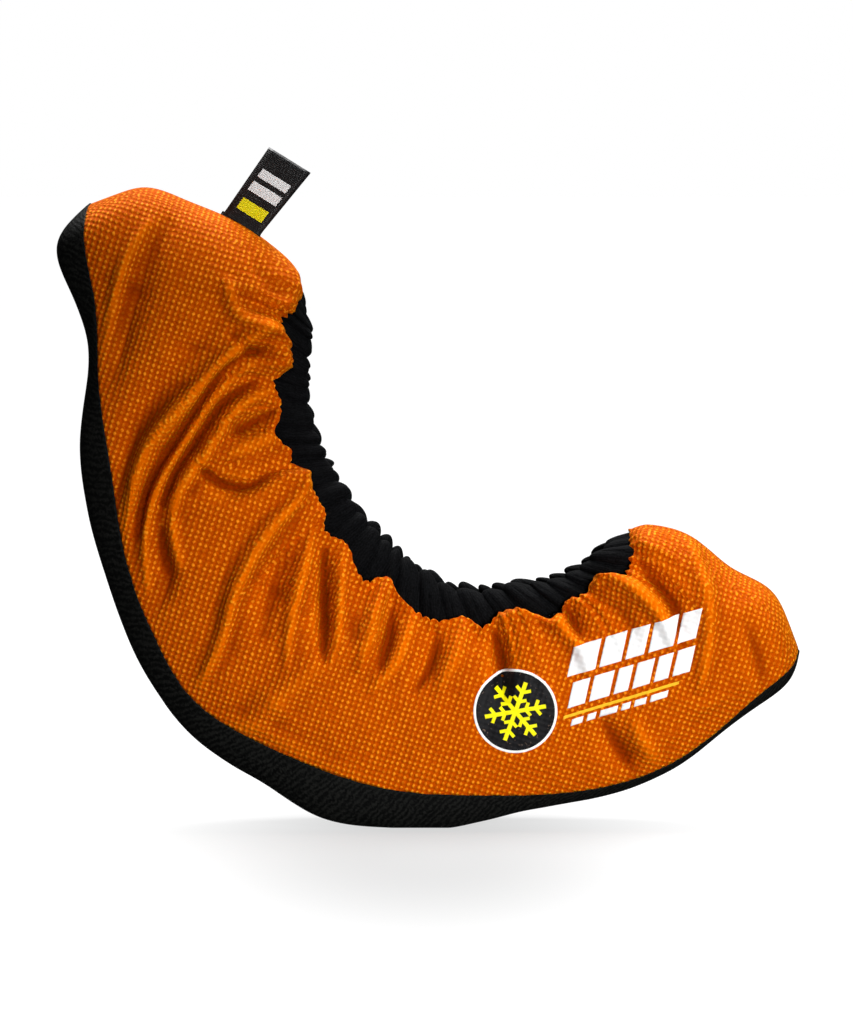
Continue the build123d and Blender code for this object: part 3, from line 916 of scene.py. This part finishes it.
def elastic():
    """The flat elastic band drawn through the collar, closed on itself."""
    count, tall, thick = 500, 2.4, 0.25
    centres, up, outward, s, _ = mouth_loop(COLLAR_INSET, COLLAR_LOOP, count)
    corners = [(1, -1), (1, 1), (-1, 1), (-1, -1)]
    lean = 0.5 * COLLAR_LEAN
    grid = np.stack([centres + up * (tall * b) + outward * (thick * a - lean * b) for a, b in corners], 1)
    cloth = paired(s[:, None], np.array([-1, 1, 1, -1])[None] * tall)
    return make_mesh("elastic", grid.reshape(-1, 3), grid_faces(count, 4, False, True, True), ELASTIC,
                     cloth.reshape(-1, 2))


both_halves(collar(), "collar", "collar_knit", (0.024, 0.43), "gathered", ["elastic"])
both_halves(elastic(), "elastic", "elastic_web")


# ---- the tapes inside the two tips ----

SPINE_DEPTH, SPINE_THICK, SPINE_REACH, SPINE_NARROW = 6.0, 0.6, 0.03, 0.6


def spine_tape(name, node, body, at_toe):
    """A tape bound over the seam where the two panels meet, inside a tip."""
    v = np.linspace(0.28, 0.8, 60)
    across = np.linspace(-1, 1, 17)
    grid = np.zeros((len(v), len(across), 3))
    for j, place in enumerate(across):
        away = SPINE_REACH * abs(place)
        u = np.full(len(v), 1 - away if at_toe else away)
        grid[:, j] = skin(u, v, RIGHT if place < 0 else LEFT)
    inward = np.array([-1.0, 0, 0]) if at_toe else np.array([0.35, 0, -0.94])
    grid[..., 1] *= SPINE_NARROW
    inner = grid + inward * (SPINE_DEPTH + SPINE_THICK)
    cloth = paired(v[:, None] * 60, across[None] * 6)
    piece = sheet_mesh(name, grid + inward * SPINE_DEPTH, inner, TAPE, cloth)
    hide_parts(node)
    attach(piece, body)


spine_tape("heel_binding", "heel_spine_tape", "heel_half", False)
spine_tape("toe_binding", "toe_spine_tape", "toe_half", True)


# ---- the pull tab: a ribbon folded in two, its ends caught in the heel seam ----

TAB_ROOT = np.array([-54.9, 0.0, 181.9])
TAB_SLOPE = math.radians(31.8)
TAB_ACROSS = np.array([math.cos(TAB_SLOPE), 0, -math.sin(TAB_SLOPE)])
TAB_OUT = np.array([math.sin(TAB_SLOPE), 0, math.cos(TAB_SLOPE)])


def pull_tab():
    """The ribbon as one closed sheet: out along one ply, round the fold and back along the other."""
    ply, fold, curl, buried, lean, count = 0.45, 0.75, 1.6, 2.2, 0.09, 28
    tip = TAB_LENGTH - 1.2
    straight = np.linspace(-buried, tip - fold, count)
    turn = np.linspace(-math.pi / 2, math.pi / 2, 11)[1:-1]
    out = np.r_[straight, straight[-1] + fold * np.cos(turn), straight[::-1]]
    y = np.r_[np.full(count, -fold), fold * np.sin(turn), np.full(count, fold)]
    y = y * (1 - 0.45 * np.exp(-np.maximum(out, 0) / 3))
    bend = curl * np.maximum(out / TAB_LENGTH, 0) ** 2
    centre = np.stack([out, y + bend], -1)
    run = unit(np.gradient(centre, axis=0))
    side = np.stack([-run[:, 1], run[:, 0]], -1)
    across = np.linspace(-0.5, 0.5, 9)
    width = TAB_WIDTH * (0.95 + 0.14 * np.clip(out / TAB_LENGTH, 0, 1))
    places = across[None] * width[:, None]
    slipped = places + 0.4 + lean * out[:, None]

    def sheet_at(offset):
        place = centre + side * offset
        return (TAB_ROOT + slipped[..., None] * TAB_ACROSS + place[:, None, :1] * TAB_OUT
                + place[:, None, 1:] * np.array([0, 1.0, 0]))

    cloth = paired(places, out[:, None])
    piece = sheet_mesh("tab", sheet_at(-ply / 2), sheet_at(ply / 2), RIBBON, cloth)
    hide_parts("pull_tab")
    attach(piece, "tab")


pull_tab()
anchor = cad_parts["tab_anchor"]
anchor.data.materials.clear()
anchor.data.materials.append(RIBBON)


# ---- prints on the right panel ----

panel_tree = BVHTree.FromPolygons(right_grid.reshape(-1, 3).tolist(),
                                  grid_faces(PANEL_ROWS, PANEL_COLUMNS).tolist())
INK_THICK, INK_SUNK = 0.16, 0.1


def printed(xz):
    """Places on the outside of the right panel behind a grid of XZ places."""
    grid = np.zeros(xz.shape[:2] + (3,))
    for index in np.ndindex(*xz.shape[:2]):
        x, z = xz[index]
        hit = panel_tree.ray_cast(Vector((x, -60, z)), Vector((0, 1, 0)))[0]
        grid[index] = hit if hit else (x, -FULL_HALF, z)
    return grid


def print_mesh(name, patches, material, node, thin=None):
    """One mesh of several patches of ink, each a grid of XZ places."""
    points, faces, cloth, start = [], [], [], 0
    for xz in patches:
        grid = printed(xz)
        normals = grid_normals(grid, RIGHT)
        p, f = shell(grid + normals * INK_THICK, grid - normals * INK_SUNK)
        points.append(p)
        faces.append(f + start)
        cloth += [xz.reshape(-1, 2)] * 2
        start += len(p)
    piece = make_mesh(name, np.concatenate(points), np.concatenate(faces), material,
                      np.concatenate(cloth))
    if thin is not None:
        counts = [2 * xz.shape[0] * xz.shape[1] for xz in patches]
        add_values(piece, "thin", np.repeat(thin, counts))
    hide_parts(node)
    follow_fold(piece)


def badge_patch():
    """A square grid bent into a disc, so that no face is a sliver."""
    a, b = np.meshgrid(np.linspace(-1, 1, 61), np.linspace(-1, 1, 61), indexing="ij")
    x, z = a * np.sqrt(1 - b ** 2 / 2), b * np.sqrt(1 - a ** 2 / 2)
    return np.stack([x, z], -1) * BADGE_RADIUS + np.array(BADGE_PLACE)


STRIPE_LEAN, STRIPE_SLANT = math.radians(17), math.radians(14)
# each row: its middle, length, height and the shares of its dashes
STRIPE_ROWS = [((61.5, 56.5), 40, 8.4, (9, 7, 6, 8, 6)), ((60.5, 46.3), 38, 7.2, (6, 7, 5, 6, 5, 6)),
               ((57.5, 39.4), 36, 0.9, (36,)), ((57.0, 37.0), 30, 1.9, (4, 3, 6, 3, 4, 6))]
STRIPE_GAP = 1.3


def stripe_patches():
    """Rows of slanted dashes, rising towards the toe; the third row is one thin amber line."""
    ahead = np.array([math.cos(STRIPE_LEAN), math.sin(STRIPE_LEAN)])
    upward = np.array([0.0, 1.0])
    patches, thin = [], []
    for row, (centre, length, tall, dashes) in enumerate(STRIPE_ROWS):
        scale = (length - STRIPE_GAP * (len(dashes) - 1)) / sum(dashes)
        at = -length / 2
        for dash in dashes:
            long = dash * scale
            s, t = np.meshgrid(np.linspace(at, at + long, max(int(long * 2.2), 3)),
                               np.linspace(-tall / 2, tall / 2, max(int(tall * 2.2), 3)), indexing="ij")
            lean = t * math.tan(STRIPE_SLANT)
            patches.append(np.array(centre) + (s + lean)[..., None] * ahead + t[..., None] * upward)
            thin.append(1.0 if row == 2 else 0.0)
            at += long + STRIPE_GAP
    return patches, thin


print_mesh("badge", [badge_patch()], BADGE, "badge_print")
stripes, thin_rows = stripe_patches()
print_mesh("stripes", stripes, STRIPE, "stripe_print", thin_rows)


# ====== floor, light and camera ======

def light(name, place, aim, size, watts, spread=180):
    """A square softbox that faces a place; a spread under 180 degrees is a grid on its front."""
    lamp = bpy.data.lights.new(name, "AREA")
    lamp.size, lamp.energy, lamp.spread = size, watts, math.radians(spread)
    holder = bpy.data.objects.new(name, lamp)
    holder.location = place
    holder.rotation_euler = (Vector(aim) - Vector(place)).to_track_quat("-Z", "Y").to_euler()
    bpy.context.scene.collection.objects.link(holder)


FLOOR_HALF, FLOOR_Z = 6.0 / MM, -0.02
SKY_ON_OBJECT, SKY_SEEN = 0.06, 1.0


def studio():
    """A glowing white floor whose glow is dimmed round the guard as a painted shadow, a white backdrop and
    three softboxes.
    """
    s = Shader("floor_white")
    s.set(Base_Color=(0.12, 0.12, 0.12, 1), Roughness=1.0, Specular_IOR_Level=0.0,
          Emission_Color=(1, 1, 1, 1))
    # Painted shadow: the glow falls from 1.0 far off to 0.62 in an oval, longer front to back, centred 80
    # mm in front of the guard.
    place = s.node("VectorMath", {0: s.place(), 1: (2.6, 1.0, 1.0), 2: (0.0, 0.08, 0.0)},
                   operation="MULTIPLY_ADD").outputs[0]
    away = s.node("VectorMath", {0: place}, operation="LENGTH").outputs["Value"]
    s.link(s.ramp(away, 0.03, 0.26, 0.62, 1.0), "Emission Strength")
    corners = [(a * FLOOR_HALF, b * FLOOR_HALF, FLOOR_Z) for a, b in ((-1, -1), (1, -1), (1, 1), (-1, 1))]
    floor = make_mesh("floor", corners, [(0, 1, 2, 3)], s.material)
    floor.visible_diffuse = False
    floor.visible_glossy = False
    world = bpy.data.worlds.new("studio")
    bpy.context.scene.world = world
    world.use_nodes = True
    tree = world.node_tree
    backdrop = tree.nodes["Background"]
    backdrop.inputs[0].default_value = (1, 1, 1, 1)
    seen = tree.nodes.new("ShaderNodeLightPath").outputs["Is Camera Ray"]
    strength = tree.nodes.new("ShaderNodeMapRange")
    tree.links.new(seen, strength.inputs[0])
    strength.inputs[3].default_value = SKY_ON_OBJECT
    strength.inputs[4].default_value = SKY_SEEN
    tree.links.new(strength.outputs[0], backdrop.inputs[1])
    light("key", place=(0.80, -0.88, 0.42), aim=(0.06, 0, 0.03), size=0.22, watts=0.46, spread=50)
    light("low", place=(0.3, -1.0, 0.08), aim=(0.02, 0, 0.01), size=0.25, watts=0.38, spread=30)
    light("top", place=(0.0, 0.34, 1.05), aim=(-0.02, 0, 0.05), size=0.8, watts=24)
    bpy.context.scene.view_settings.view_transform = "Standard"


VIEW_AIM = (-0.00045, 0, 0.0939)
VIEW_HEIGHT, VIEW_DISTANCE, VIEW_RISE = 0.3072, 2.0, 4.5


def photo_camera():
    """A long lens a little above the middle of the guard, looking along +Y."""
    aim, angle = Vector(VIEW_AIM), math.radians(VIEW_RISE)
    data = bpy.data.cameras.new("camera")
    data.sensor_width = 36
    data.lens = 36 * VIEW_DISTANCE / VIEW_HEIGHT
    holder = bpy.data.objects.new("camera", data)
    holder.location = aim + Vector((0, -math.cos(angle), math.sin(angle))) * VIEW_DISTANCE
    holder.rotation_euler = (aim - holder.location).to_track_quat("-Z", "Y").to_euler()
    bpy.context.scene.collection.objects.link(holder)
    bpy.context.scene.camera = holder


studio()
photo_camera()
